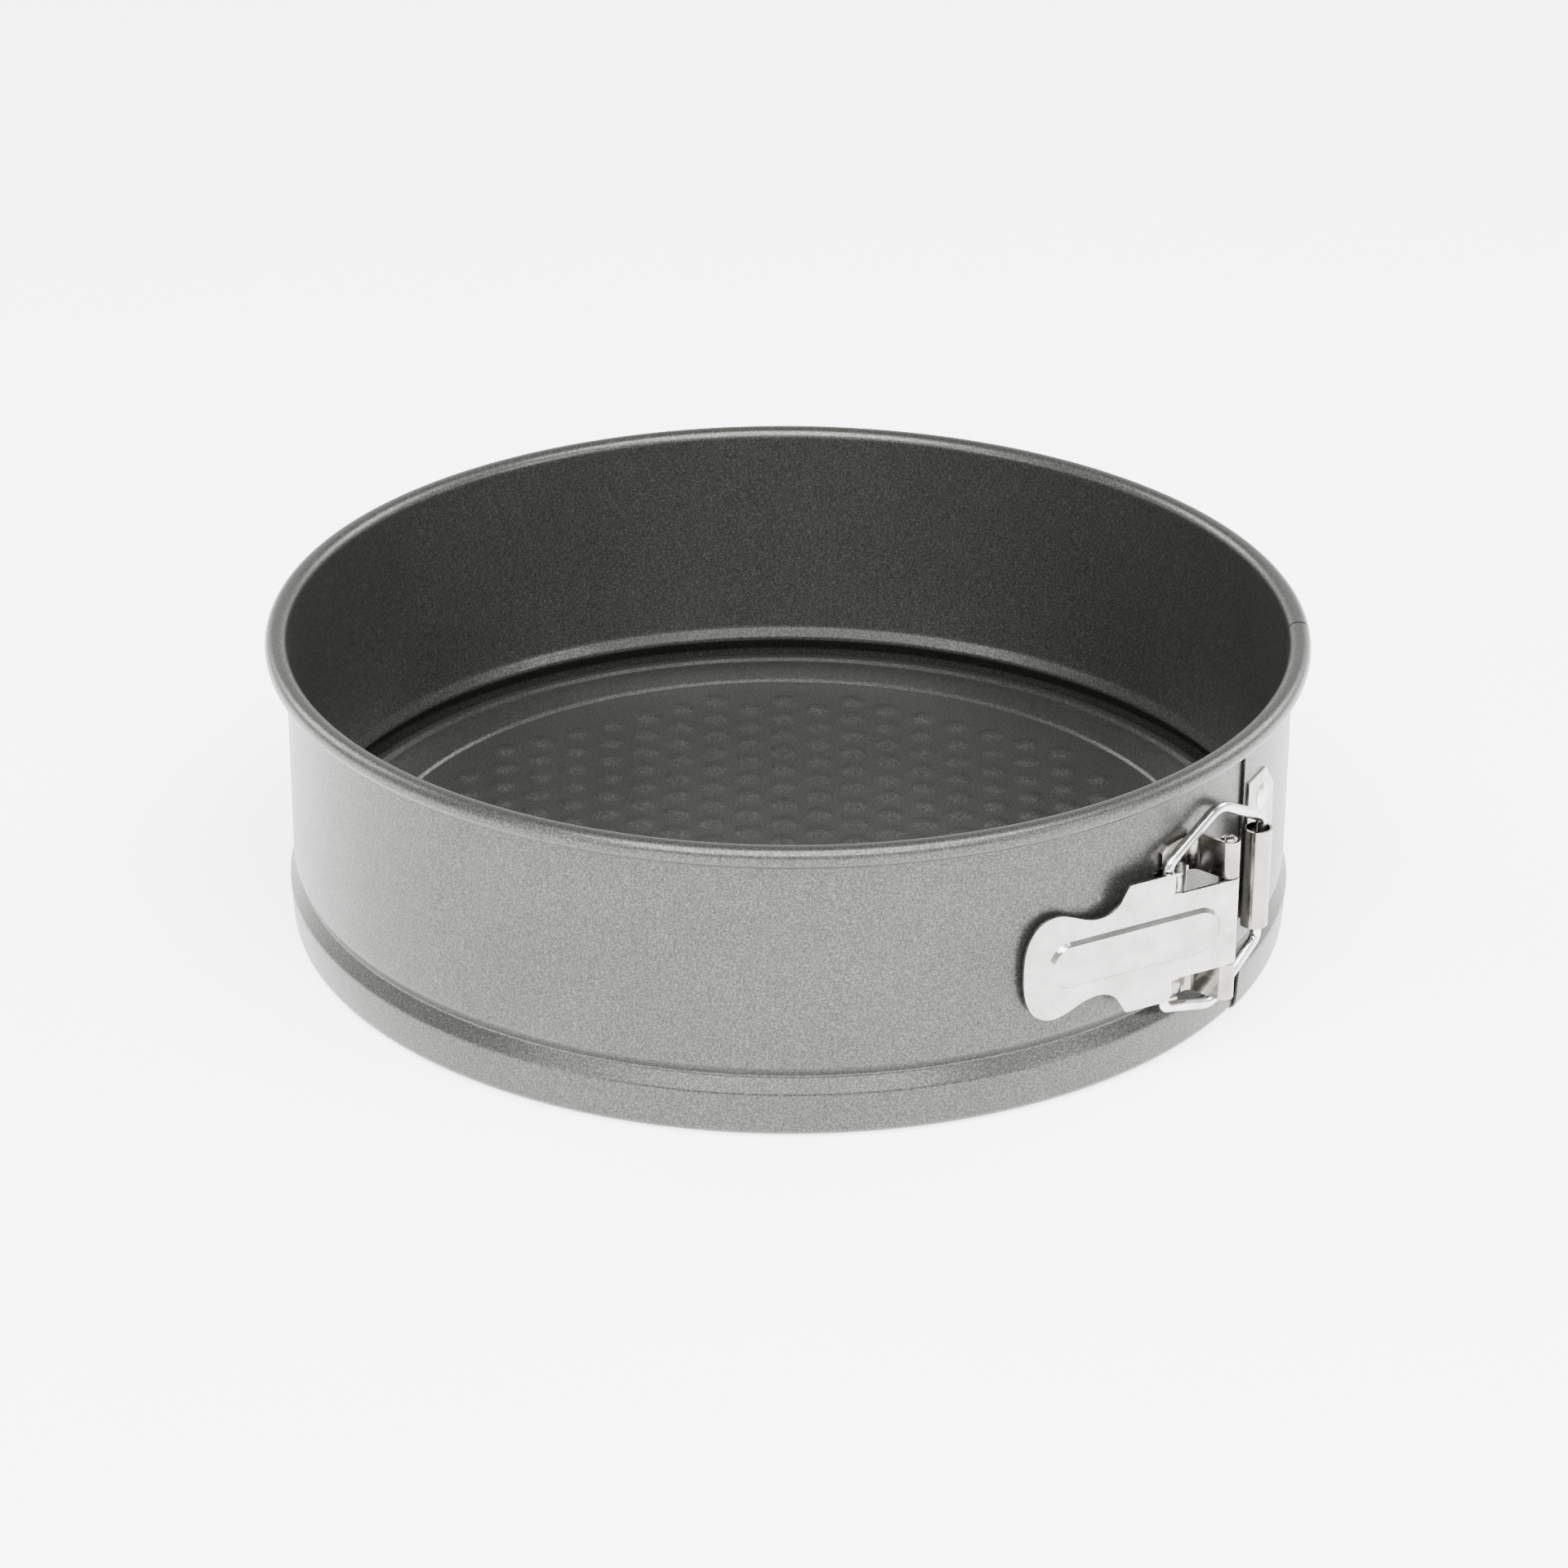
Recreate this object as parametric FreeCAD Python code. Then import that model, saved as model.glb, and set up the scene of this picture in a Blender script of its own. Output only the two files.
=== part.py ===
import FreeCAD, Part
import math
import os

# Springform cake pan: a rolled band with overlapping ends, a lift-out base and an over-centre latch.
# Millimetres. +Z is up, the pan stands on z = 0 and its axis is Z. The latch's hinge pin is on -Y.
# Azimuths are in degrees, 0 at -Y and growing towards +X.

os.makedirs("parts", exist_ok=True)
Vector = FreeCAD.Vector
UP = Vector(0, 0, 1)

# Band: one strip of sheet steel
HEIGHT = 70.4
SHEET = 0.5
WALL_OUTER_R = 114.7
RIM_OUTER_R = 119.3
RIM_DROP = 4.8
RIM_BEND_R = 2.05
RIM_EDGE_GAP = 1.05
BEAD_INNER_R = 113.0
BEAD_Z = 13.9
SHOULDER_R = 115.8
SHOULDER_Z = 10.4
FOOT_OUTER_R = 115.15
LIP_INNER_R = 111.2

# Overlap of the band's two ends: the tongue passes inside the outer end
OUTER_END_AZ = 9.5
TONGUE_END_AZ = 38.2
STEP_START_AZ = 39.0
STEP_END_AZ = 41.5
STEP_OUT = 0.75
SEAM_GAP_AZ = 0.3
STEP_TOP_Z = 65.2
RIM_LAP = 0.4
OUTER_END_TOP_Z = 67.5
TONGUE_FOOT_Z = 1.3

# Base: a shallow inverted tray that stands on the band's lip
BASE_SHEET = 0.6
BASE_OUTER_R = 112.7
BASE_FOOT_Z = 0.6
FLOOR_TOP_Z = 8.8
LEDGE_TOP_Z = 9.5
RIDGE_TOP_Z = 9.95
FLOOR_R = 97.4
RIDGE_R = 111.2

# Latch
LATCH_Z = 34.0
LATCH_SHEET = 0.7
PIN_R = 1.5
PIN_RUNNING_GAP = 0.06
PIN_DISTANCE = 123.5
PIN_HALF_LENGTH = 19.7
BRACKET_HALF_HEIGHT = 19.2
BRACKET_START_AZ = -6.4
BRACKET_WINDOW_X = -4.4
BRACKET_PLATE_END_AZ = -1.9
BRACKET_BEVEL = 1.5
BRACKET_ARM_BEND_R = 2.2
BRACKET_ROLL = 285
KNUCKLE_GAP = 0.3
SEAT_GAP = 0.05

# Lever: a flat plate whose normal points along this azimuth
LEVER_AZ = -21.9
LEVER_HINGE_HALF = 10.3
TAB_START = 13.6
TAB_END = 26.8
TAB_HALF = 15.4
TAB_CORNER_R = 1.2
# Neck and thumb tab: distance from the pin and half width
THUMB_EDGE = ((29.1, 11.5), (31.2, 9.9), (35.2, 9.3), (40.2, 10.9), (45.2, 12.3), (49.9, 10.4), (52.3, 6.0))
THUMB_TIP = 52.9
HOOK_INNER_R = 1.85
HOOK_HALF = 14.9
PANEL_START = 3.2
PANEL_END = 46.9
PANEL_HALF = 5.6
PANEL_RISE = 0.9

# Wire bail
WIRE_R = 1.25
WIRE_CRANK = 15.8
WIRE_INSET = 0.1
BAIL_Z = 33.4
LEG_HALF = 17.4
PEAK_HALF = 24.4
PEAK_PLACE = 0.527
FAR_LEG_HALF = 15.0
WIRE_END_LENGTH = 8.0
WIRE_BEND_R = 8.0
WIRE_LEG_BEND_R = 2.6

# Catch: a plate with a rolled barrel that holds the bail's far ends
BARREL_AZ = 10.0
BARREL_DISTANCE = 118.8
BARREL_INNER_R = 2.65
BARREL_SHEET = 0.5
BARREL_HALF = 11.9
BARREL_Z = 34.2
BARREL_ROLL = 315
BARREL_SLACK = 1.09
CATCH_START_AZ = 10.3
CATCH_END_AZ = 18.4
CATCH_TOP_Z = 55.8
CATCH_BEVEL_WIDTH = 6.6
CATCH_BEVEL_RISE = 6.8

# Rivets
RIVET_SHANK_R = 1.4
RIVET_HEAD_R = 3.2
RIVET_HEAD_RISE = 1.1
RIVET_TAIL_R = 2.3
RIVET_TAIL_RISE = 0.5
HOLE_DEPTH = 4.0
RIVET_END_GAP = 0.05
HINGE_RIVET_AZ = -4.5
HINGE_RIVET_UPPER_Z = 42.5
HINGE_RIVET_LOWER_Z = 25.5
CATCH_RIVET_AZ = 14.2
CATCH_RIVET_UPPER_Z = 49.6
CATCH_RIVET_LOWER_Z = 27.5


def polar(azimuth, radius, z=0.0):
    angle = math.radians(azimuth)
    return Vector(radius * math.sin(angle), -radius * math.cos(angle), z)


def unit(azimuth):
    return polar(azimuth, 1.0)


# The hinge pin, and the lever's own directions: along it towards the thumb tab, and out of its face
PIN = polar(0, PIN_DISTANCE)
LEVER_OUT = unit(LEVER_AZ)
LEVER_ALONG = Vector(LEVER_OUT.y, -LEVER_OUT.x, 0)
KNUCKLE_R = PIN_R + PIN_RUNNING_GAP + LATCH_SHEET
HOOK_OUTER_R = HOOK_INNER_R + LATCH_SHEET


def lever_point(along, out, z=0.0):
    return PIN + LEVER_ALONG * along + LEVER_OUT * out + UP * z


WIRE_NEAR = lever_point(WIRE_CRANK, -WIRE_INSET)
BARREL = polar(BARREL_AZ, BARREL_DISTANCE)
WIRE_FAR = BARREL + Vector(BARREL_SLACK, 0, 0)


def in_section(u, v):
    """Half section of a turned shape: u is the radius, v the height."""
    return Vector(u, 0, v)


def in_plan(u, v):
    return Vector(u, v, 0)


def side(points, radii, offset, place):
    """One face of a bent sheet: lines joined by bends, offset to the left of the centre line."""
    edges = []
    start = None
    for i, radius in enumerate(radii):
        before, corner, after = points[i], points[i + 1], points[i + 2]
        ax, ay = corner[0] - before[0], corner[1] - before[1]
        bx, by = after[0] - corner[0], after[1] - corner[1]
        la, lb = math.hypot(ax, ay), math.hypot(bx, by)
        ax, ay, bx, by = ax / la, ay / la, bx / lb, by / lb
        turn = math.atan2(ax * by - ay * bx, ax * bx + ay * by)
        hand = math.copysign(1.0, turn)
        reach = radius * math.tan(abs(turn) / 2)
        first = (corner[0] - ax * reach, corner[1] - ay * reach)
        centre = (first[0] - hand * ay * radius, first[1] + hand * ax * radius)
        size = radius - hand * offset
        begin = (centre[0] + hand * ay * size, centre[1] - hand * ax * size)
        end = (centre[0] + hand * by * size, centre[1] - hand * bx * size)
        middle_angle = math.atan2(ay * hand, ax * hand) + turn / 2 - math.pi / 2
        middle = (centre[0] + size * math.cos(middle_angle), centre[1] + size * math.sin(middle_angle))
        if start is None:
            start = (before[0] - ay * offset, before[1] + ax * offset)
        edges.append(Part.makeLine(place(*start), place(*begin)))
        edges.append(Part.Arc(place(*begin), place(*middle), place(*end)).toShape())
        start = end
    ax, ay = points[-1][0] - points[-2][0], points[-1][1] - points[-2][1]
    length = math.hypot(ax, ay)
    last = (points[-1][0] - ay / length * offset, points[-1][1] + ax / length * offset)
    edges.append(Part.makeLine(place(*start), place(*last)))
    return edges


def bent_sheet(points, radii, thickness, place):
    """The cut face of a sheet bent along a centre line."""
    left = side(points, radii, thickness / 2, place)
    right = side(points, radii, -thickness / 2, place)
    caps = [
        Part.makeLine(left[0].Vertexes[0].Point, right[0].Vertexes[0].Point),
        Part.makeLine(left[-1].Vertexes[-1].Point, right[-1].Vertexes[-1].Point),
    ]
    return Part.Face(Part.Wire(Part.__sortEdges__(left + right + caps)))


def turned(face, start, end):
    """Turns a half section about the pan's axis from one azimuth to another."""
    placed = face.copy()
    placed.rotate(Vector(0, 0, 0), UP, start - 90)
    return placed.revolve(Vector(0, 0, 0), UP, end - start)


def ring_block(inner, outer, low, high, start, end):
    """A square-edged piece of a ring."""
    corners = [(inner, low), (outer, low), (outer, high), (inner, high), (inner, low)]
    wire = Part.makePolygon([in_section(*corner) for corner in corners])
    return turned(Part.Face(wire), start, end)


def tube_arc(centre, inner, outer, low, high, start_direction, angle):
    """A rolled piece of tube about a vertical line, from one direction through an angle."""
    near = centre + start_direction * inner
    far = centre + start_direction * outer
    rise = UP * (high - low)
    foot = UP * low
    corners = [near + foot, far + foot, far + foot + rise, near + foot + rise, near + foot]
    return Part.Face(Part.makePolygon(corners)).revolve(centre, UP, angle)


def solid_of(shape):
    """The single solid in a shape."""
    merged = shape.removeSplitter()
    if len(merged.Solids) != 1:
        raise ValueError("expected one solid, found %d" % len(merged.Solids))
    return merged.Solids[0]


def band_foot(shift):
    """Centre line of the lip, skirt, shoulder and inward bead, up to the foot of the wall."""
    half = SHEET / 2
    points = [
        (LIP_INNER_R + shift, half),
        (FOOT_OUTER_R - half + shift, half),
        (SHOULDER_R - half + shift, SHOULDER_Z),
        (BEAD_INNER_R + half - 0.2 + shift, BEAD_Z),
        (WALL_OUTER_R - half + shift, BEAD_Z + 3.0),
    ]
    return points, [1.9, 1.2, 1.0, 3.0]


def rim_curl():
    """Centre line of the rim, rolled outwards from the top of the wall."""
    half = SHEET / 2
    top = HEIGHT - half
    outer = RIM_OUTER_R - half
    bottom = HEIGHT - RIM_DROP + half
    points = [
        (WALL_OUTER_R - half, top),
        (outer, top),
        (outer, bottom),
        (WALL_OUTER_R + RIM_EDGE_GAP, bottom),
    ]
    return points, [RIM_BEND_R, RIM_BEND_R, RIM_BEND_R]


def band():
    foot, foot_bends = band_foot(0.0)
    curl, curl_bends = rim_curl()
    section = bent_sheet(foot + curl, foot_bends + curl_bends, SHEET, in_section)
    strip = turned(section, STEP_END_AZ, 360 + TONGUE_END_AZ)

    # the tongue has no lip, so that it clears the lip of the outer end below it
    trim_start = OUTER_END_AZ - SEAM_GAP_AZ
    lip_trim = ring_block(LIP_INNER_R - 5, RIM_OUTER_R + 5, -1, TONGUE_FOOT_Z, trim_start, STEP_START_AZ)
    strip = strip.cut(lip_trim)

    # the outer end lies round the tongue and its top edge is held inside the rim
    raised, raised_bends = band_foot(STEP_OUT)
    raised.append((WALL_OUTER_R - SHEET / 2 + STEP_OUT, OUTER_END_TOP_Z))
    outer_section = bent_sheet(raised, raised_bends, SHEET, in_section)
    outer_end = turned(outer_section, OUTER_END_AZ, STEP_START_AZ)

    # a short step brings the outer end back in line with the rest of the band
    sections = []
    for shift, azimuth in ((STEP_OUT, STEP_START_AZ), (0.0, STEP_END_AZ)):
        points, bends = band_foot(shift)
        points.append((WALL_OUTER_R - SHEET / 2 + shift, STEP_TOP_Z))
        face = bent_sheet(points, bends, SHEET, in_section)
        face.rotate(Vector(0, 0, 0), UP, azimuth - 90)
        sections.append(face.OuterWire)
    step = Part.makeLoft(sections, True, True)

    # the rim over the step begins where the tongue's rim ends
    wall_top = [(WALL_OUTER_R - SHEET / 2, STEP_TOP_Z - RIM_LAP)]
    rim_section = bent_sheet(wall_top + curl, curl_bends, SHEET, in_section)
    rim = turned(rim_section, TONGUE_END_AZ + SEAM_GAP_AZ, STEP_END_AZ)

    # the hinge's rivets go right through the wall, the catch's only through the outer end
    joined = strip.fuse([outer_end, step, rim])
    for z in (HINGE_RIVET_UPPER_Z, HINGE_RIVET_LOWER_Z):
        joined = joined.cut(rivet_hole(HINGE_RIVET_AZ, WALL_OUTER_R - 2 * SHEET, z))
    for z in (CATCH_RIVET_UPPER_Z, CATCH_RIVET_LOWER_Z):
        joined = joined.cut(rivet_hole(CATCH_RIVET_AZ, WALL_OUTER_R + SHEET / 5, z))
    return solid_of(joined)


def rivet_hole(azimuth, start, z):
    """A cutter for a rivet's shank, from a radius outwards through the sheets."""
    return Part.makeCylinder(RIVET_SHANK_R, HOLE_DEPTH, polar(azimuth, start, z), unit(azimuth))


def base_plate():
    half = BASE_SHEET / 2
    points = [
        (0.0, FLOOR_TOP_Z - half),
        (FLOOR_R, FLOOR_TOP_Z - half),
        (FLOOR_R + 1.0, LEDGE_TOP_Z - half),
        (RIDGE_R - 2.6, LEDGE_TOP_Z - half),
        (RIDGE_R - 1.2, RIDGE_TOP_Z - half + 0.1),
        (BASE_OUTER_R - half, RIDGE_TOP_Z - half),
        (BASE_OUTER_R - half, BASE_FOOT_Z),
    ]
    bends = [0.9, 0.9, 1.5, 1.5, 0.95]
    section = bent_sheet(points, bends, BASE_SHEET, in_section)
    return solid_of(section.revolve(Vector(0, 0, 0), UP, 360))


def rivet(azimuth, z, seat, inner):
    """Domed head on the seat radius and a shank that ends at the inner radius."""
    crown = (RIVET_HEAD_R**2 + RIVET_HEAD_RISE**2) / (2 * RIVET_HEAD_RISE)
    dome = Part.makeSphere(crown, polar(azimuth, seat + RIVET_HEAD_RISE - crown, z))
    outside = Part.makeCylinder(RIVET_HEAD_R + 1, HOLE_DEPTH, polar(azimuth, seat, z), unit(azimuth))
    length = seat - inner + RIVET_HEAD_RISE / 2
    shank = Part.makeCylinder(RIVET_SHANK_R, length, polar(azimuth, inner, z), unit(azimuth))
    return dome.common(outside).fuse(shank)


def hinge_rivet(z):
    """A rivet with a spread tail against the inside of the wall."""
    wall_inner = WALL_OUTER_R - SHEET
    tail_start = wall_inner - RIVET_END_GAP - RIVET_TAIL_RISE
    tail_foot = polar(HINGE_RIVET_AZ, tail_start, z)
    tail = Part.makeCone(RIVET_TAIL_R - 0.4, RIVET_TAIL_R, RIVET_TAIL_RISE, tail_foot, unit(HINGE_RIVET_AZ))
    seat = WALL_OUTER_R + SEAT_GAP + LATCH_SHEET
    return solid_of(rivet(HINGE_RIVET_AZ, z, seat, tail_start + RIVET_TAIL_RISE / 2).fuse(tail))


def catch_rivet(z):
    """A rivet that ends flush with the outer end, because the tongue lies behind it."""
    inner = WALL_OUTER_R + STEP_OUT - SHEET + RIVET_END_GAP
    seat = WALL_OUTER_R + STEP_OUT + SEAT_GAP + BARREL_SHEET
    return solid_of(rivet(CATCH_RIVET_AZ, z, seat, inner))


def hinge_bracket():
    low, high = LATCH_Z - BRACKET_HALF_HEIGHT, LATCH_Z + BRACKET_HALF_HEIGHT
    inner = WALL_OUTER_R + SEAT_GAP
    middle = inner + LATCH_SHEET / 2
    plate = ring_block(inner, inner + LATCH_SHEET, low, high, BRACKET_START_AZ, BRACKET_PLATE_END_AZ)
    for z, rise in ((high, BRACKET_BEVEL), (low, -BRACKET_BEVEL)):
        plate = plate.cut(corner_cut(BRACKET_START_AZ, z, -BRACKET_BEVEL, rise))

    # each arm leaves the wall, runs out to the pin and rolls round it
    rolled = PIN_R + LATCH_SHEET / 2
    path = [(BRACKET_WINDOW_X - 0.2, -middle), (-rolled, -middle), (-rolled, -PIN_DISTANCE)]
    arm = bent_sheet(path, [BRACKET_ARM_BEND_R], LATCH_SHEET, in_plan)
    arm.translate(UP * low)
    arms = arm.extrude(UP * (high - low))
    roll = tube_arc(PIN, PIN_R, PIN_R + LATCH_SHEET, low, high, Vector(-1, 0, 0), BRACKET_ROLL)
    joined = plate.fuse([arms, roll])

    # the lever's knuckle turns in a window between the arms
    half_window = LEVER_HINGE_HALF + KNUCKLE_GAP
    corner = Vector(BRACKET_WINDOW_X, -2 * PIN_DISTANCE, LATCH_Z - half_window)
    window = Part.makeBox(PIN_DISTANCE, 2 * PIN_DISTANCE - WALL_OUTER_R / 2, 2 * half_window, corner)
    joined = joined.cut(window)
    for z in (HINGE_RIVET_UPPER_Z, HINGE_RIVET_LOWER_Z):
        joined = joined.cut(rivet_hole(HINGE_RIVET_AZ, inner - 1, z))
    return solid_of(joined)


def corner_cut(azimuth, z, width, rise):
    """A wedge that bevels a plate's corner; width is signed along the azimuth and rise is signed in z."""
    across = unit(azimuth + 90) * width
    up = UP * rise
    corner = polar(azimuth, WALL_OUTER_R - 2, z)
    points = [
        corner - across * 1.5 + up * 0.5,
        corner + across * 0.5 - up * 1.5,
        corner + across * 0.5 + up * 0.5,
        corner - across * 1.5 + up * 0.5,
    ]
    return Part.Face(Part.makePolygon(points)).extrude(unit(azimuth) * 2 * HOLE_DEPTH)


def hinge_pin():
    low = LATCH_Z - PIN_HALF_LENGTH
    chamfer = 0.35
    length = 2 * PIN_HALF_LENGTH
    shaft = Part.makeCylinder(PIN_R, length - 2 * chamfer, PIN + UP * (low + chamfer), UP)
    foot = Part.makeCone(PIN_R - chamfer, PIN_R, chamfer, PIN + UP * low, UP)
    top = Part.makeCone(PIN_R, PIN_R - chamfer, chamfer, PIN + UP * (low + length - chamfer), UP)
    return solid_of(shaft.fuse([foot, top]))


def lever_plate(back):
    """The flat plate: straight edges round the hinge end and the tab, then one curve round the thumb."""
    def at(along, height):
        return lever_point(along, back, LATCH_Z + height)

    tab = [(TAB_START, LEVER_HINGE_HALF), (TAB_START, TAB_HALF), (TAB_END, TAB_HALF), THUMB_EDGE[0]]
    upper = [(0.0, LEVER_HINGE_HALF)] + tab
    lower = [(along, -height) for along, height in reversed(upper)]
    edges = Part.makePolygon([at(*point) for point in lower + upper]).Edges
    curve = Part.BSplineCurve()
    rest = [(along, -height) for along, height in reversed(THUMB_EDGE)]
    curve.interpolate([at(*point) for point in list(THUMB_EDGE) + [(THUMB_TIP, 0.0)] + rest])
    edges.append(curve.toShape())
    plate = Part.Face(Part.Wire(Part.__sortEdges__(edges))).extrude(LEVER_OUT * LATCH_SHEET)
    rounded = [
        edge
        for edge in plate.Edges
        if abs(abs(edge.tangentAt(edge.FirstParameter).dot(LEVER_OUT)) - 1) < 1e-6
        and abs((edge.CenterOfMass - PIN).dot(LEVER_ALONG) - TAB_END) < 0.1
    ]
    return plate.makeFillet(TAB_CORNER_R, rounded)


def lever():
    back = KNUCKLE_R - LATCH_SHEET
    plate = lever_plate(back)

    # raised panel pressed out of the plate
    outlines = []
    for rise, half in ((0.0, PANEL_HALF), (PANEL_RISE, PANEL_HALF - PANEL_RISE)):
        outlines.append(stadium(PANEL_START + PANEL_HALF, PANEL_END - PANEL_HALF, half, KNUCKLE_R + rise))
    panel = Part.makeLoft(outlines, True, True)

    low, high = LATCH_Z - LEVER_HINGE_HALF, LATCH_Z + LEVER_HINGE_HALF
    knuckle = tube_arc(PIN, back, KNUCKLE_R, low, high, LEVER_OUT, 285)
    pieces = [panel, knuckle]

    # a hook at each end of the tab's edge rolls behind the plate and round the wire
    hook_centre = lever_point(TAB_START + HOOK_OUTER_R, back - HOOK_INNER_R)
    hook_root = LEVER_HINGE_HALF + KNUCKLE_GAP
    for near, far in ((hook_root, HOOK_HALF), (-HOOK_HALF, -hook_root)):
        pieces.append(
            tube_arc(hook_centre, HOOK_INNER_R, HOOK_OUTER_R, LATCH_Z + near, LATCH_Z + far, LEVER_OUT, 250)
        )
        # the rolled edge replaces the plate's square corner
        corner_start = lever_point(TAB_START - 1, back - 0.1, LATCH_Z + near)
        plate = plate.cut(
            block(corner_start, LEVER_ALONG * (1 + HOOK_OUTER_R), LEVER_OUT * (LATCH_SHEET + 0.2), UP * (far - near))
        )
    return solid_of(plate.fuse(pieces))


def block(corner, first, second, third):
    """A box spanned by three edges from a corner."""
    points = [corner, corner + first, corner + first + second, corner + second, corner]
    return Part.Face(Part.makePolygon(points)).extrude(third)


def stadium(start, end, half, out):
    """A slot-shaped wire on the lever's face."""
    def at(along, height):
        return lever_point(along, out, LATCH_Z + height)

    edges = [
        Part.makeLine(at(start, half), at(end, half)),
        Part.Arc(at(end, half), at(end + half, 0), at(end, -half)).toShape(),
        Part.makeLine(at(end, -half), at(start, -half)),
        Part.Arc(at(start, -half), at(start - half, 0), at(start, half)).toShape(),
    ]
    return Part.Wire(edges)


def wire_bail():
    """A bent wire: a leg behind the lever, two arms over and under the hinge, and two ends in the barrel."""
    across = WIRE_FAR - WIRE_NEAR

    def at(place, height):
        return WIRE_NEAR + across * place + UP * (BAIL_Z + height)

    corners = [
        at(1, FAR_LEG_HALF - WIRE_END_LENGTH),
        at(1, FAR_LEG_HALF),
        at(PEAK_PLACE, PEAK_HALF),
        at(0, LEG_HALF),
        at(0, -LEG_HALF),
        at(PEAK_PLACE, -PEAK_HALF),
        at(1, -FAR_LEG_HALF),
        at(1, WIRE_END_LENGTH - FAR_LEG_HALF),
    ]
    bends = [WIRE_LEG_BEND_R, WIRE_BEND_R, WIRE_LEG_BEND_R]
    path = rounded_path(corners, bends + bends[::-1])
    circle = Part.Wire(Part.makeCircle(WIRE_R, corners[0], UP))
    wire = path.makePipeShell([circle], True, True)
    return solid_of(wire)


def rounded_path(corners, radii):
    """A wire through corners, each replaced by an arc that is tangent to both runs."""
    edges = []
    start = corners[0]
    for i, radius in enumerate(radii):
        corner = corners[i + 1]
        back = (corners[i] - corner).normalize()
        ahead = (corners[i + 2] - corner).normalize()
        opening = math.acos(max(-1.0, min(1.0, back.dot(ahead))))
        reach = radius / math.tan(opening / 2)
        first, last = corner + back * reach, corner + ahead * reach
        bisector = (back + ahead).normalize()
        middle = corner + bisector * (radius / math.sin(opening / 2) - radius)
        edges.append(Part.makeLine(start, first))
        edges.append(Part.Arc(first, middle, last).toShape())
        start = last
    edges.append(Part.makeLine(start, corners[-1]))
    return Part.Wire(edges)


def catch_bracket():
    inner = WALL_OUTER_R + STEP_OUT + SEAT_GAP
    outer = inner + BARREL_SHEET
    low, high = BARREL_Z - BARREL_HALF, BARREL_Z + BARREL_HALF
    plate = ring_block(inner, outer, low, CATCH_TOP_Z, CATCH_START_AZ, CATCH_END_AZ)
    plate = plate.cut(corner_cut(CATCH_END_AZ, CATCH_TOP_Z, CATCH_BEVEL_WIDTH, CATCH_BEVEL_RISE))

    # the plate's edge is rolled into a barrel
    seat = BARREL_DISTANCE - BARREL_INNER_R - BARREL_SHEET
    neck = ring_block(seat, seat + BARREL_SHEET, low, high, BARREL_AZ, CATCH_START_AZ + 1.0)
    roll_start = unit(BARREL_AZ) * -1
    barrel = tube_arc(
        BARREL, BARREL_INNER_R, BARREL_INNER_R + BARREL_SHEET, low, high, roll_start, -BARREL_ROLL
    )
    joined = plate.fuse([neck, barrel])
    for z in (CATCH_RIVET_UPPER_Z, CATCH_RIVET_LOWER_Z):
        joined = joined.cut(rivet_hole(CATCH_RIVET_AZ, inner - 1, z))
    return solid_of(joined)


def write(name, shape):
    if not shape.isValid():
        raise ValueError(name + " is not valid")
    shape.exportStep("parts/%s.step" % name)
    print(name, round(shape.Volume, 1), "mm3")


write("band", band())
write("base_plate", base_plate())
write("hinge_bracket", hinge_bracket())
write("hinge_pin", hinge_pin())
write("lever", lever())
write("wire_bail", wire_bail())
write("catch_bracket", catch_bracket())

write("hinge_rivet_upper", hinge_rivet(HINGE_RIVET_UPPER_Z))
write("hinge_rivet_lower", hinge_rivet(HINGE_RIVET_LOWER_Z))
write("catch_rivet_upper", catch_rivet(CATCH_RIVET_UPPER_Z))
write("catch_rivet_lower", catch_rivet(CATCH_RIVET_LOWER_Z))
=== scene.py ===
import bmesh
import bpy
import math
from mathutils import Matrix, Vector


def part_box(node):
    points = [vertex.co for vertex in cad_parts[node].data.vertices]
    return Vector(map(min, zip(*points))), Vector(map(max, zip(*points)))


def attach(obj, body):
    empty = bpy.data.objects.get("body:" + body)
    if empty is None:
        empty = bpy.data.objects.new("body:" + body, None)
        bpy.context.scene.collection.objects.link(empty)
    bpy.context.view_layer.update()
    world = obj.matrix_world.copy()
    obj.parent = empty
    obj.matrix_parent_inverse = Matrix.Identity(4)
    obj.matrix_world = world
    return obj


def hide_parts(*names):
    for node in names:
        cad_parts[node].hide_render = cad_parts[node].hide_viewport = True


# Looks of a springform cake pan: a rolled band with a lift-out dimpled base and an over-centre latch.
# Metres. The pan stands on z = 0 and its axis is Z. Azimuth 0 is at -Y and grows towards +X.

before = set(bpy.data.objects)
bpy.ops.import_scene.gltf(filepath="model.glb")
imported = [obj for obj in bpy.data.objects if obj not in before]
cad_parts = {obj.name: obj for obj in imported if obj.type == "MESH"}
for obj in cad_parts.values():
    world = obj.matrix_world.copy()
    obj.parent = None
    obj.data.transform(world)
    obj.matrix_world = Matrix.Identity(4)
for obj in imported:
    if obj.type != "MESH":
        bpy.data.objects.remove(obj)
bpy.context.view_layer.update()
MM = 0.001

# ---------------------------------------------------------------- sizes, in millimetres

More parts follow.
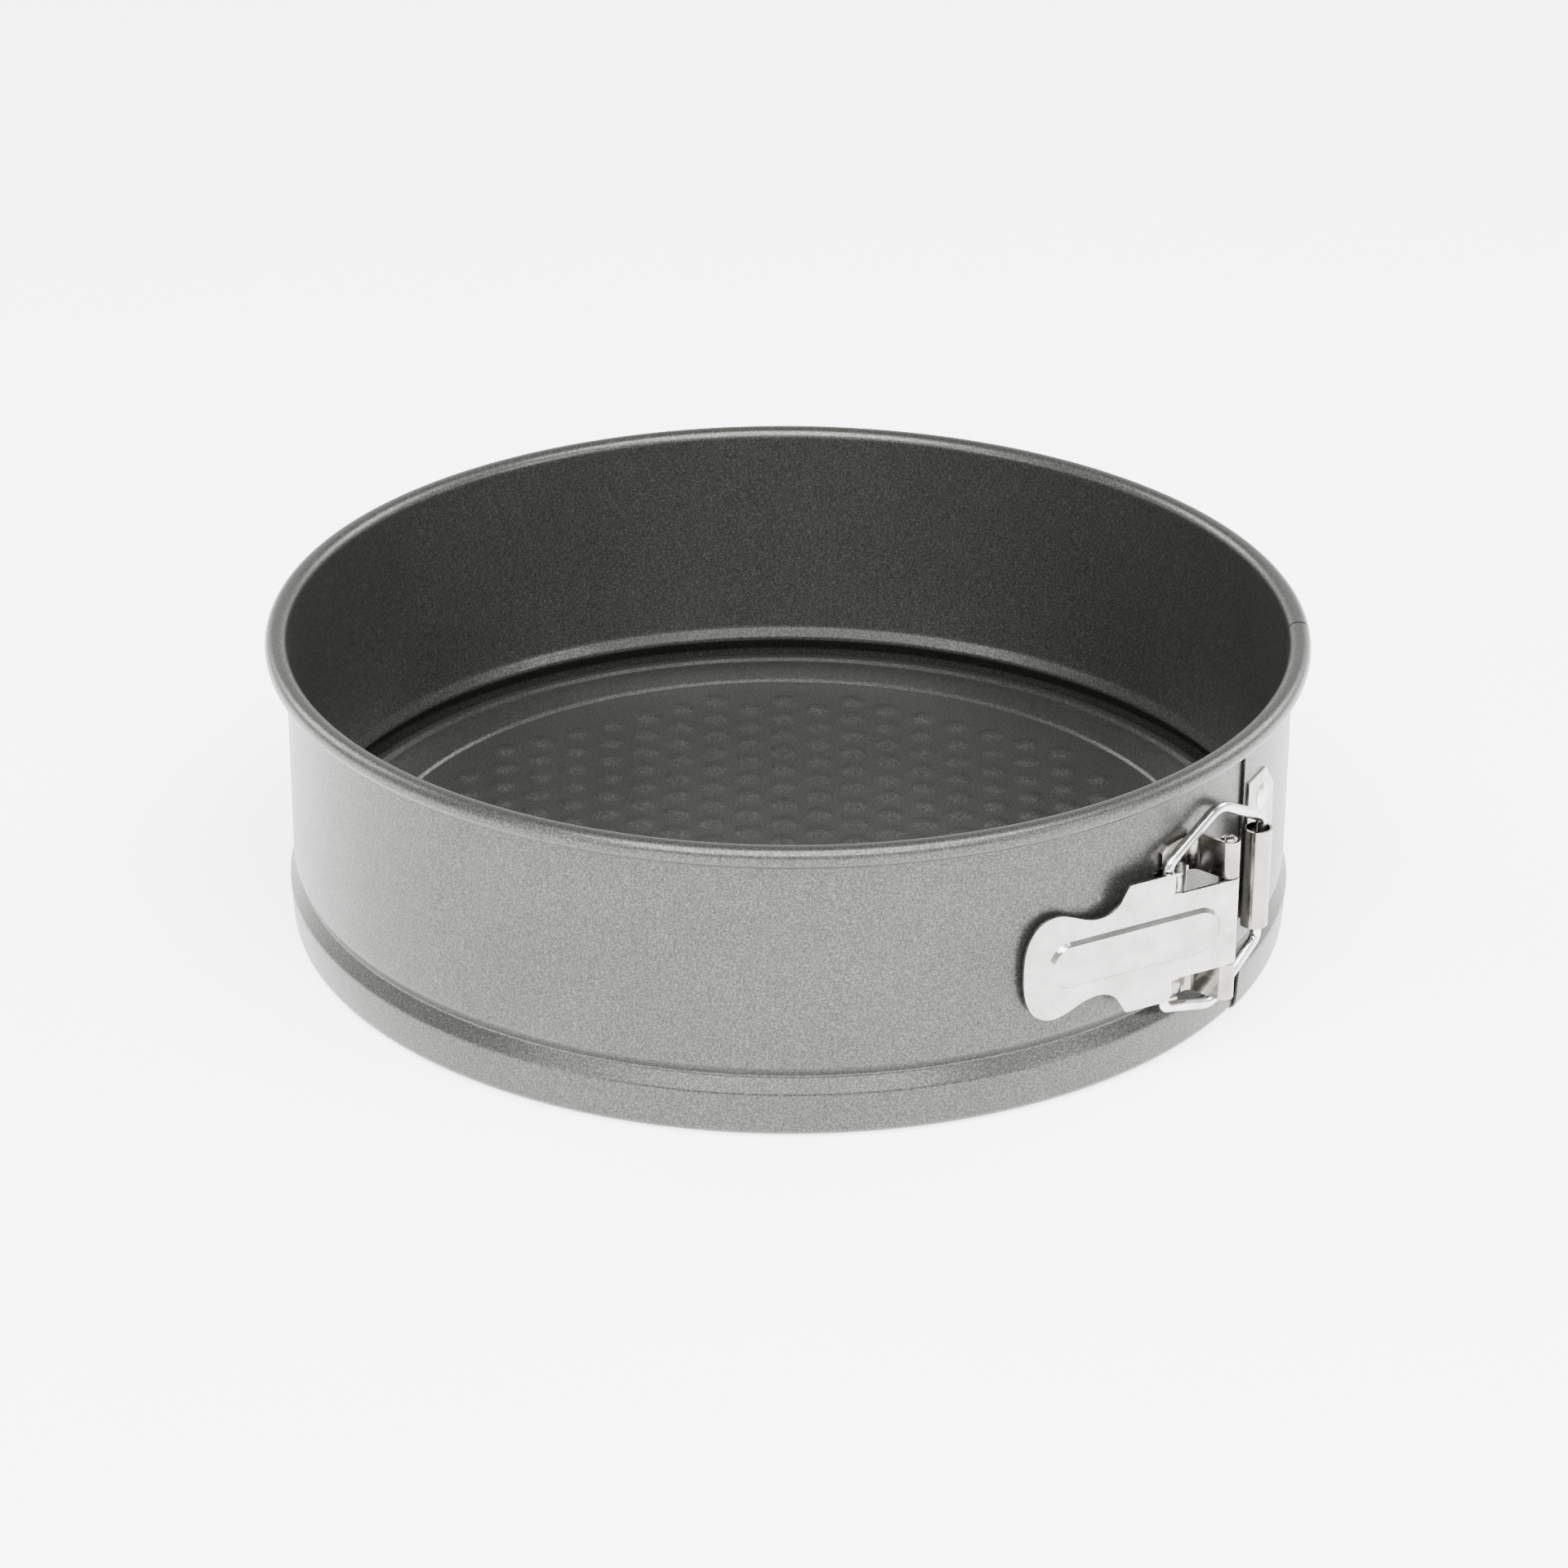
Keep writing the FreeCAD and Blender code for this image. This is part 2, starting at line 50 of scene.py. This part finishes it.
band_low, band_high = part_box("band")
HEIGHT = band_high.z / MM
RIM_OUTER_R = band_high.x / MM
SHEET = 0.5
WALL_OUTER_R = RIM_OUTER_R - 4.6
RIM_DROP = 4.8
RIM_BEND_R = 2.05
RIM_EDGE_GAP = 1.05
BEAD_INNER_R = WALL_OUTER_R - 1.7
BEAD_Z = 13.9
SHOULDER_R = WALL_OUTER_R + 1.1
SHOULDER_Z = 10.4
FOOT_OUTER_R = WALL_OUTER_R + 0.45
LIP_INNER_R = WALL_OUTER_R - 3.5
BEAD_CORNER_TRIM = 0.2
BEAD_RUN = 3.0
WALL_START_Z = BEAD_Z + 4.0
BAND_BENDS = [1.9, 1.2, 1.0, 3.0, RIM_BEND_R, RIM_BEND_R, RIM_BEND_R]

OUTER_END_AZ = 9.5
TONGUE_END_AZ = 38.2
STEP_START_AZ = 39.0
STEP_END_AZ = 41.5
STEP_OUT = 0.75
SEAM_GAP_AZ = 0.3
OUTER_END_TOP_Z = HEIGHT - 2.9
STEP_TOP_Z = HEIGHT - 5.2
TONGUE_FOOT_Z = 1.3
AZIMUTH_STEP = 0.6
WALL_ROW = 4.5
TURN_STEP = math.radians(9)

BASE_SHEET = 0.6
BASE_OUTER_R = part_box("base_plate")[1].x / MM
RIDGE_TOP_Z = 9.95
LEDGE_TOP_Z = 9.5
FLOOR_TOP_Z = 8.8
BASE_FOOT_Z = 0.6
FLOOR_R = 97.4
LEDGE_RUN = 1.0
RIDGE_R = 111.2
RIDGE_START = 2.6
RIDGE_CREST = 1.2
CREST_RISE = 0.1
BASE_BENDS = [0.9, 0.9, 1.5, 1.5, 0.95]

# Pressed dimples: a triangular lattice, one of whose rows runs away from LATTICE_AZ
LATTICE_AZ = -50.8
DIMPLE_PITCH = 9.8
DIMPLE_R = 3.6
DIMPLE_RISE = 0.8
LATTICE_ORIGIN = (-0.9, 17.7)
FIELD_FLAT = 84.5
FIELD_R = 94.0
LATTICE_REACH = 12
CELL = 10.0
RING_STEP = 0.9
BASE_SIDES = 672
SIDE_SHARES = ((9.0, 8), (20.0, 4), (42.0, 2))

WELD_DISTANCE = 2e-6
NEAR_ZERO = 1e-6
SHEET_SHARP = 40
LATCH_SHARP = 32


# ---------------------------------------------------------------- mesh helpers

def polar(azimuth, radius, z):
    angle = math.radians(azimuth)
    return Vector((radius * math.sin(angle), -radius * math.cos(angle), z)) * MM


def sheet_line(points, bends, row):
    """Samples of a bent centre line: (position, left normal) pairs, round in the bends."""
    samples = []
    start = Vector(points[0])
    for i, radius in enumerate(bends):
        corner = Vector(points[i + 1])
        ahead = (corner - start).normalized()
        leaving = (Vector(points[i + 2]) - corner).normalized()
        turn = math.atan2(ahead.x * leaving.y - ahead.y * leaving.x, ahead.dot(leaving))
        hand = math.copysign(1.0, turn)
        first = corner - ahead * radius * math.tan(abs(turn) / 2)
        left = Vector((-ahead.y, ahead.x))
        samples += straight(start, first, left, row)
        centre = first + left * hand * radius
        steps = max(3, round(abs(turn) / TURN_STEP))
        for k in range(steps + 1):
            spin = turn * k / steps
            normal = Matrix.Rotation(spin, 2) @ left
            samples.append((centre - normal * hand * radius, normal))
        start = samples[-1][0]
    ahead = (Vector(points[-1]) - start).normalized()
    left = Vector((-ahead.y, ahead.x))
    samples += straight(start, Vector(points[-1]), left, row)[1:]
    samples.append((Vector(points[-1]), left))
    return samples


def straight(start, end, normal, row):
    """Samples along a straight run, without its far end."""
    count = max(1, math.ceil((end - start).length / row))
    return [(start.lerp(end, k / count), normal) for k in range(count)]


def add_marks(samples, heights):
    """Adds samples on the wall at exact heights, so that patches can meet there."""
    for height in heights:
        for i in range(len(samples) - 1):
            (p, n), (q, m) = samples[i], samples[i + 1]
            on_wall = abs(p.x - q.x) < NEAR_ZERO and p.y < height - NEAR_ZERO and q.y > height + NEAR_ZERO
            if on_wall:
                samples.insert(i + 1, (Vector((p.x, height)), n))
                break


def index_at(samples, height, beyond=0):
    """The first sample at or over a height, from an index on."""
    for i in range(beyond, len(samples)):
        if samples[i][0].y >= height - NEAR_ZERO:
            return i
    raise ValueError("no sample at that height")


def sweep(bm, samples, azimuths, low, high, thickness, shift, start_cap=None, end_cap=None):
    """Turns part of a sheet's line about Z. shift(azimuth) moves it outwards; caps are index ranges."""
    half = thickness / 2
    columns = []
    for azimuth in azimuths:
        out = shift(azimuth)
        faces = []
        for side in (half, -half):
            points = [p + n * side for p, n in samples[low:high + 1]]
            faces.append([bm.verts.new(polar(azimuth, p.x + out, p.y)) for p in points])
        columns.append(faces)
    for (left, right), (next_left, next_right) in zip(columns, columns[1:]):
        for k in range(len(left) - 1):
            bm.faces.new((left[k], left[k + 1], next_left[k + 1], next_left[k]))
            bm.faces.new((right[k + 1], right[k], next_right[k], next_right[k + 1]))
        bm.faces.new((left[0], next_left[0], next_right[0], right[0]))
        bm.faces.new((left[-1], right[-1], next_right[-1], next_left[-1]))
    for cap, (left, right) in ((start_cap, columns[0]), (end_cap, columns[-1])):
        if cap:
            for k in range(cap[0] - low, cap[1] - low):
                bm.faces.new((left[k], right[k], right[k + 1], left[k + 1]))


def azimuths_between(start, end):
    count = max(2, math.ceil(abs(end - start) / AZIMUTH_STEP))
    return [start + (end - start) * k / count for k in range(count + 1)]


def finish_mesh(bm, name, sharp_degrees):
    bmesh.ops.remove_doubles(bm, verts=bm.verts, dist=WELD_DISTANCE)
    bmesh.ops.recalc_face_normals(bm, faces=bm.faces)
    mesh = bpy.data.meshes.new(name)
    bm.to_mesh(mesh)
    bm.free()
    mesh.shade_smooth()
    mesh.set_sharp_from_angle(angle=math.radians(sharp_degrees))
    piece = bpy.data.objects.new(name, mesh)
    bpy.context.scene.collection.objects.link(piece)
    return piece


# ---------------------------------------------------------------- band

def band_line():
    half = SHEET / 2
    top = HEIGHT - half
    return sheet_line(
        [
            (LIP_INNER_R, half),
            (FOOT_OUTER_R - half, half),
            (SHOULDER_R - half, SHOULDER_Z),
            (BEAD_INNER_R + half - BEAD_CORNER_TRIM, BEAD_Z),
            (WALL_OUTER_R - half, BEAD_Z + BEAD_RUN),
            (WALL_OUTER_R - half, top),
            (RIM_OUTER_R - half, top),
            (RIM_OUTER_R - half, HEIGHT - RIM_DROP + half),
            (WALL_OUTER_R + RIM_EDGE_GAP, HEIGHT - RIM_DROP + half),
        ],
        BAND_BENDS,
        WALL_ROW,
    )


def make_band():
    line = band_line()
    add_marks(line, (STEP_TOP_Z, OUTER_END_TOP_Z))
    last = len(line) - 1
    foot = index_at(line, TONGUE_FOOT_Z)
    on_wall = index_at(line, WALL_START_Z)
    step_top = index_at(line, STEP_TOP_Z, on_wall)
    end_top = index_at(line, OUTER_END_TOP_Z, on_wall)
    seam = OUTER_END_AZ - SEAM_GAP_AZ

    def level(azimuth):
        return 0.0

    def raised(azimuth):
        return STEP_OUT

    def stepping(azimuth):
        along = (azimuth - STEP_START_AZ) / (STEP_END_AZ - STEP_START_AZ)
        return STEP_OUT * (0.5 + 0.5 * math.cos(math.pi * along))

    bm = bmesh.new()
    sweep(bm, line, azimuths_between(STEP_END_AZ, 360 + seam), 0, last, SHEET, level, None, (0, foot))
    tongue = azimuths_between(360 + seam, 360 + TONGUE_END_AZ)
    sweep(bm, line, tongue, foot, last, SHEET, level, None, (foot, last))
    outer_end = azimuths_between(OUTER_END_AZ, STEP_START_AZ)
    sweep(bm, line, outer_end, 0, end_top, SHEET, raised, (0, end_top), (step_top, end_top))
    sweep(bm, line, azimuths_between(STEP_START_AZ, STEP_END_AZ), 0, step_top, SHEET, stepping)
    stub = azimuths_between(TONGUE_END_AZ + SEAM_GAP_AZ, STEP_END_AZ)
    sweep(bm, line, stub, step_top, last, SHEET, level, (step_top, last), None)
    return finish_mesh(bm, "band_shell", SHEET_SHARP)


# ---------------------------------------------------------------- base

def dimple_centres():
    """Lattice points inside a hexagon that is cut by a circle, in millimetres in the row's frame."""
    turn = Matrix.Rotation(math.radians(LATTICE_AZ), 2)
    across = DIMPLE_PITCH * math.sqrt(3) / 2
    normals = [Vector((math.sin(a), math.cos(a))) for a in (math.radians(30 + 60 * k) for k in range(6))]
    centres = []
    for i in range(-LATTICE_REACH, LATTICE_REACH + 1):
        for j in range(-LATTICE_REACH, LATTICE_REACH + 1):
            x = LATTICE_ORIGIN[0] + across * i
            y = LATTICE_ORIGIN[1] + DIMPLE_PITCH * (j + 0.5 * (i % 2))
            place = Vector((x, y))
            inside = max(place.dot(n) for n in normals) < FIELD_FLAT
            if inside and place.length < FIELD_R - DIMPLE_R:
                centres.append(turn @ place)
    return centres


def cell_of(x, y):
    return math.floor(x / CELL), math.floor(y / CELL)


def dimple_height(centres_by_cell, x, y):
    """Height of the dimples' domes over the floor at one place."""
    rise = 0.0
    cell = cell_of(x, y)
    for di in (-1, 0, 1):
        for dj in (-1, 0, 1):
            for c in centres_by_cell.get((cell[0] + di, cell[1] + dj), ()):
                s = ((x - c.x) ** 2 + (y - c.y) ** 2) / DIMPLE_R**2
                if s < 1:
                    rise += DIMPLE_RISE * (1 - s) ** 2 * (1 + s)
    return rise


def ring_sides(radius):
    """Points in a ring: fewer near the centre, so that the faces stay about one size."""
    for limit, share in SIDE_SHARES:
        if radius < limit:
            return BASE_SIDES // share
    return BASE_SIDES


def base_line():
    half = BASE_SHEET / 2
    return sheet_line(
        [
            (0.0, FLOOR_TOP_Z - half),
            (FLOOR_R, FLOOR_TOP_Z - half),
            (FLOOR_R + LEDGE_RUN, LEDGE_TOP_Z - half),
            (RIDGE_R - RIDGE_START, LEDGE_TOP_Z - half),
            (RIDGE_R - RIDGE_CREST, RIDGE_TOP_Z - half + CREST_RISE),
            (BASE_OUTER_R - half, RIDGE_TOP_Z - half),
            (BASE_OUTER_R - half, BASE_FOOT_Z),
        ],
        BASE_BENDS,
        RING_STEP,
    )


def make_base():
    by_cell = {}
    for c in dimple_centres():
        by_cell.setdefault(cell_of(c.x, c.y), []).append(c)
    line = base_line()
    bm = bmesh.new()
    rings = {}
    for side in (BASE_SHEET / 2, -BASE_SHEET / 2):
        rings[side] = []
        for p, n in line:
            q = p + n * side
            if p.x < NEAR_ZERO:
                rings[side].append([bm.verts.new(Vector((0, 0, q.y)) * MM)])
                continue
            sides = ring_sides(p.x)
            ring = []
            for k in range(sides):
                azimuth = 360 * k / sides
                x, y, z = polar(azimuth, q.x, q.y) / MM
                if p.x < FIELD_R:
                    z += dimple_height(by_cell, x, y)
                ring.append(bm.verts.new(Vector((x, y, z)) * MM))
            rings[side].append(ring)
        for inner, outer in zip(rings[side], rings[side][1:]):
            join_rings(bm, inner, outer)
    join_rings(bm, rings[BASE_SHEET / 2][-1], rings[-BASE_SHEET / 2][-1])
    return finish_mesh(bm, "base_sheet", SHEET_SHARP)


def join_rings(bm, inner, outer):
    """Faces between two rings; the outer one may have twice the points."""
    count = len(outer)
    if len(inner) == 1:
        for k in range(count):
            bm.faces.new((inner[0], outer[k], outer[(k + 1) % count]))
    elif len(inner) == count:
        for k in range(count):
            bm.faces.new((inner[k], outer[k], outer[(k + 1) % count], inner[(k + 1) % count]))
    else:
        for k, vertex in enumerate(inner):
            after = inner[(k + 1) % len(inner)]
            one, two, three = outer[2 * k], outer[2 * k + 1], outer[(2 * k + 2) % count]
            bm.faces.new((vertex, one, two))
            bm.faces.new((vertex, two, after))
            bm.faces.new((after, two, three))


# ---------------------------------------------------------------- materials

def shader(name, metallic, roughness):
    """A new material, its node tree and its main shader."""
    material = bpy.data.materials.new(name)
    material.use_nodes = True
    tree = material.node_tree
    principled = tree.nodes["Principled BSDF"]
    principled.inputs["Metallic"].default_value = metallic
    principled.inputs["Roughness"].default_value = roughness
    return material, tree, principled


def place_input(tree, stretch=(1, 1, 1), turn=(0, 0, 0)):
    """Object coordinates, turned and stretched along the axes."""
    coordinate = tree.nodes.new("ShaderNodeTexCoord")
    mapping = tree.nodes.new("ShaderNodeMapping")
    mapping.inputs["Scale"].default_value = stretch
    mapping.inputs["Rotation"].default_value = turn
    tree.links.new(coordinate.outputs["Object"], mapping.inputs["Vector"])
    return mapping.outputs["Vector"]


def noise(tree, vector, scale, detail, roughness):
    node = tree.nodes.new("ShaderNodeTexNoise")
    node.inputs["Scale"].default_value = scale
    node.inputs["Detail"].default_value = detail
    node.inputs["Roughness"].default_value = roughness
    tree.links.new(vector, node.inputs["Vector"])
    return node.outputs["Fac"]


def ramp(tree, factor, stops):
    """Colour ramp with (place, colour) stops; a colour may be one grey number."""
    node = tree.nodes.new("ShaderNodeValToRGB")
    points = node.color_ramp.elements
    while len(points) < len(stops):
        points.new(0.5)
    for point, (place, colour) in zip(points, stops):
        point.position = place
        point.color = (*colour, 1) if isinstance(colour, tuple) else (colour, colour, colour, 1)
    tree.links.new(factor, node.inputs["Fac"])
    return node.outputs["Color"]


def multiplied(tree, first, second):
    """The product of two colour outputs."""
    node = tree.nodes.new("ShaderNodeMix")
    node.data_type = "RGBA"
    node.blend_type = "MULTIPLY"
    node.inputs["Factor"].default_value = 1.0
    for source, socket in ((first, node.inputs[6]), (second, node.inputs[7])):
        tree.links.new(source, socket)
    return node.outputs[2]


def bump(tree, principled, height, distance, strength, before=None):
    node = tree.nodes.new("ShaderNodeBump")
    node.inputs["Distance"].default_value = distance
    node.inputs["Strength"].default_value = strength
    tree.links.new(height, node.inputs["Height"])
    if before is not None:
        tree.links.new(before, node.inputs["Normal"])
    tree.links.new(node.outputs["Normal"], principled.inputs["Normal"])
    return node.outputs["Normal"]


def coating():
    """Grey speckled non-stick coating on steel."""
    material, tree, principled = shader("dark_coating", 0.75, 0.34)
    place = place_input(tree)
    speck = noise(tree, place, 2500.0, 1.0, 0.5)
    cloud = noise(tree, place, 38.0, 3.0, 0.55)
    fine = ramp(tree, speck, [(0.30, COAT_DARK), (0.52, COAT_MID), (0.74, COAT_LIGHT)])
    wide = ramp(tree, cloud, [(0.3, 0.90), (0.7, 1.0)])
    tree.links.new(multiplied(tree, fine, wide), principled.inputs["Base Color"])
    gloss = ramp(tree, speck, [(0.3, 0.38), (0.7, 0.30)])
    tree.links.new(gloss, principled.inputs["Roughness"])
    bump(tree, principled, speck, 0.00005, 0.22)
    return material


def bright_steel(name, low, high):
    """Polished sheet steel with fine scratches one way and worn patches."""
    material, tree, principled = shader(name, 1.0, 0.24)
    along = place_input(tree, (40, 40, 900), (0.0, 0.0, 0.38))
    cross = place_input(tree, (500, 500, 60), (0.3, 0.5, 0.2))
    grain = noise(tree, along, 1.0, 3.0, 0.6)
    scratch = noise(tree, cross, 1.0, 2.0, 0.5)
    cloud = noise(tree, place_input(tree), 120.0, 3.0, 0.6)
    tone = ramp(tree, cloud, [(0.3, low), (0.65, high)])
    lines = ramp(tree, scratch, [(0.30, 0.93), (0.42, 1.0)])
    tree.links.new(multiplied(tree, tone, lines), principled.inputs["Base Color"])
    tree.links.new(ramp(tree, grain, [(0.3, 0.12), (0.7, 0.22)]), principled.inputs["Roughness"])
    first = bump(tree, principled, grain, 0.00002, 0.15)
    bump(tree, principled, scratch, 0.00002, 0.15, first)
    return material


def wire_steel():
    """Drawn bright wire with light drawing marks."""
    material, tree, principled = shader("wire_steel", 1.0, 0.16)
    marks = noise(tree, place_input(tree, (60, 900, 900)), 1.0, 2.0, 0.5)
    cloud = noise(tree, place_input(tree), 260.0, 3.0, 0.6)
    tree.links.new(ramp(tree, cloud, [(0.3, 0.40), (0.6, 0.62)]), principled.inputs["Base Color"])
    tree.links.new(ramp(tree, marks, [(0.3, 0.12), (0.7, 0.26)]), principled.inputs["Roughness"])
    bump(tree, principled, marks, 0.00003, 0.25)
    return material


def rivet_metal():
    """Plain rivet metal, a little mottled."""
    material, tree, principled = shader("rivet_metal", 1.0, 0.3)
    cloud = noise(tree, place_input(tree), 700.0, 3.0, 0.6)
    tree.links.new(ramp(tree, cloud, [(0.3, 0.52), (0.7, 0.72)]), principled.inputs["Base Color"])
    tree.links.new(ramp(tree, cloud, [(0.3, 0.24), (0.7, 0.42)]), principled.inputs["Roughness"])
    bump(tree, principled, cloud, 0.00006, 0.3)
    return material


COAT_DARK = (0.030, 0.0305, 0.028)
COAT_MID = (0.054, 0.0545, 0.050)
COAT_LIGHT = (0.105, 0.105, 0.098)
STEEL_LOW = (0.27, 0.267, 0.258)
STEEL_HIGH = (0.42, 0.416, 0.405)
BRACKET_LOW = (0.20, 0.19, 0.175)
BRACKET_HIGH = (0.32, 0.305, 0.28)

MATERIALS = {
    "dark_coating": coating(),
    "bright_steel": bright_steel("bright_steel", STEEL_LOW, STEEL_HIGH),
    "bracket_steel": bright_steel("bracket_steel", BRACKET_LOW, BRACKET_HIGH),
    "wire_steel": wire_steel(),
    "rivet_metal": rivet_metal(),
}


# ---------------------------------------------------------------- pieces

def stand_in(piece, body, node, slot, material=None):
    """A new piece that takes a CAD node's place."""
    piece.data.materials.clear()
    piece.data.materials.append(MATERIALS[material or slot])
    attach(piece, body)
    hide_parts(node)


stand_in(make_band(), "ring", "band", "dark_coating")
stand_in(make_base(), "base", "base_plate", "dark_coating")

EDGE_ROUNDING = 0.00012
EDGE_ANGLE = math.radians(40)
FLAT_ANGLE = math.radians(0.5)
NODE_WELD = 1e-6
REFINED = (
    # CAD node, body, material slot, material, whether its sharp edges are rounded
    ("hinge_bracket", "ring", "bright_steel", "bracket_steel", True),
    ("hinge_pin", "ring", "bright_steel", "bracket_steel", False),
    ("lever", "lever", "bright_steel", "bright_steel", True),
    ("catch_bracket", "ring", "bright_steel", "bracket_steel", True),
    ("wire_bail", "bail", "wire_steel", "wire_steel", False),
    ("hinge_rivet_upper", "ring", "rivet_metal", "rivet_metal", True),
    ("hinge_rivet_lower", "ring", "rivet_metal", "rivet_metal", True),
    ("catch_rivet_upper", "ring", "rivet_metal", "rivet_metal", True),
    ("catch_rivet_lower", "ring", "rivet_metal", "rivet_metal", True),
)


def refined(node, body, slot, material, rounded):
    """A copy of a CAD node's mesh with welded vertices, smooth faces and lightly rounded sheet edges."""
    bm = bmesh.new()
    bm.from_mesh(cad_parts[node].data)
    bmesh.ops.remove_doubles(bm, verts=bm.verts, dist=NODE_WELD)
    if rounded:
        bmesh.ops.dissolve_limit(bm, angle_limit=FLAT_ANGLE, verts=bm.verts, edges=bm.edges)
    piece = finish_mesh(bm, node + "_visual", LATCH_SHARP)
    if rounded:
        bevel = piece.modifiers.new("edges", "BEVEL")
        bevel.limit_method = "ANGLE"
        bevel.angle_limit = EDGE_ANGLE
        bevel.width = EDGE_ROUNDING
        bevel.segments = 2
        bevel.use_clamp_overlap = True
        bevel.harden_normals = True
    stand_in(piece, body, node, slot, material)


for row in REFINED:
    refined(*row)


# ---------------------------------------------------------------- stage, light and camera

FLOOR_HALF = 6.0
FLOOR_COLOUR = (0.90, 0.90, 0.895)
WORLD_STRENGTH = 2.2
FLOOR_GLOW = 3.1
FLOOR_DROP = 0.0002
SKY_STOPS = [(0.0, 1.0), (0.22, 0.9), (0.5, 0.42), (0.85, 0.2)]
LIGHT_TARGET = (0, 0, 0.03)
LIGHTS = (
    # name, (right, away, up) from the camera's side in metres, width, height, watts
    ("overhead", (0.1, -0.45, 1.25), 1.7, 0.5, 54.0),
    ("front_top", (0.0, -1.15, 1.15), 1.8, 0.35, 56.0),
    ("back_left", (-1.5, 1.1, 1.2), 1.0, 0.9, 40.0),
    ("back_right", (1.5, 1.1, 1.2), 1.0, 0.9, 40.0),
    ("front_right", (1.35, -0.75, 0.5), 0.4, 0.5, 7.0),
    ("front_left", (-1.2, -1.1, 0.6), 0.5, 0.6, 7.0),
)


def make_floor():
    bm = bmesh.new()
    bmesh.ops.create_grid(bm, x_segments=1, y_segments=1, size=FLOOR_HALF)
    mesh = bpy.data.meshes.new("floor")
    bm.to_mesh(mesh)
    bm.free()
    floor = bpy.data.objects.new("floor", mesh)
    bpy.context.scene.collection.objects.link(floor)
    floor.location.z = -FLOOR_DROP
    material, tree, principled = shader("floor_paper", 0.0, 0.9)
    principled.inputs["Base Color"].default_value = (*FLOOR_COLOUR, 1)
    principled.inputs["Specular IOR Level"].default_value = 0.1
    principled.inputs["Emission Color"].default_value = (1.0, 1.0, 1.0, 1)
    principled.inputs["Emission Strength"].default_value = FLOOR_GLOW
    floor.data.materials.append(material)


def make_world():
    world = bpy.data.worlds.new("studio")
    world.use_nodes = True
    background = world.node_tree.nodes["Background"]
    tree = world.node_tree
    coordinate = tree.nodes.new("ShaderNodeTexCoord")
    split = tree.nodes.new("ShaderNodeSeparateXYZ")
    tree.links.new(coordinate.outputs["Generated"], split.inputs["Vector"])
    shade = ramp(tree, split.outputs["Z"], SKY_STOPS)
    tree.links.new(shade, background.inputs["Color"])
    background.inputs["Strength"].default_value = WORLD_STRENGTH
    bpy.context.scene.world = world


def area_light(name, place, width, height, watts):
    lamp = bpy.data.lights.new(name, "AREA")
    lamp.shape = "RECTANGLE"
    lamp.size, lamp.size_y = width, height
    lamp.energy = watts
    light = bpy.data.objects.new(name, lamp)
    bpy.context.scene.collection.objects.link(light)
    light.location = place
    light.rotation_mode = "QUATERNION"
    light.rotation_quaternion = (Vector(LIGHT_TARGET) - place).to_track_quat("-Z", "Y")


CAMERA_AZ = -50.8
CAMERA_ELEVATION = 25.884
CAMERA_DISTANCE = 1.11975
LOOK_Z = 0.03123
LENS = 110.66
SENSOR_WIDTH = 36.0
ROLL = 0.0048
SHIFT = (-0.002125, -0.0085)


def make_camera():
    azimuth, elevation = math.radians(CAMERA_AZ), math.radians(CAMERA_ELEVATION)
    back = Vector((
        math.sin(azimuth) * math.cos(elevation),
        -math.cos(azimuth) * math.cos(elevation),
        math.sin(elevation),
    ))
    data = bpy.data.cameras.new("camera")
    data.lens = LENS
    data.sensor_width = SENSOR_WIDTH
    data.shift_x, data.shift_y = SHIFT
    data.clip_start, data.clip_end = 0.05, 50.0
    camera = bpy.data.objects.new("camera", data)
    bpy.context.scene.collection.objects.link(camera)
    camera.location = Vector((0, 0, LOOK_Z)) + back * CAMERA_DISTANCE
    camera.rotation_mode = "QUATERNION"
    level = (-back).to_track_quat("-Z", "Y")
    camera.rotation_quaternion = level @ Matrix.Rotation(ROLL, 3, "Z").to_quaternion()
    bpy.context.scene.camera = camera


def camera_side(right, away, up):
    """A place given along the camera's level directions, in metres."""
    azimuth = math.radians(CAMERA_AZ)
    forward = Vector((-math.sin(azimuth), math.cos(azimuth), 0))
    side = Vector((forward.y, -forward.x, 0))
    return side * right + forward * away + Vector((0, 0, up))


make_floor()
make_world()
for light_name, (right, away, up), width, height, watts in LIGHTS:
    area_light(light_name, camera_side(right, away, up), width, height, watts)
make_camera()
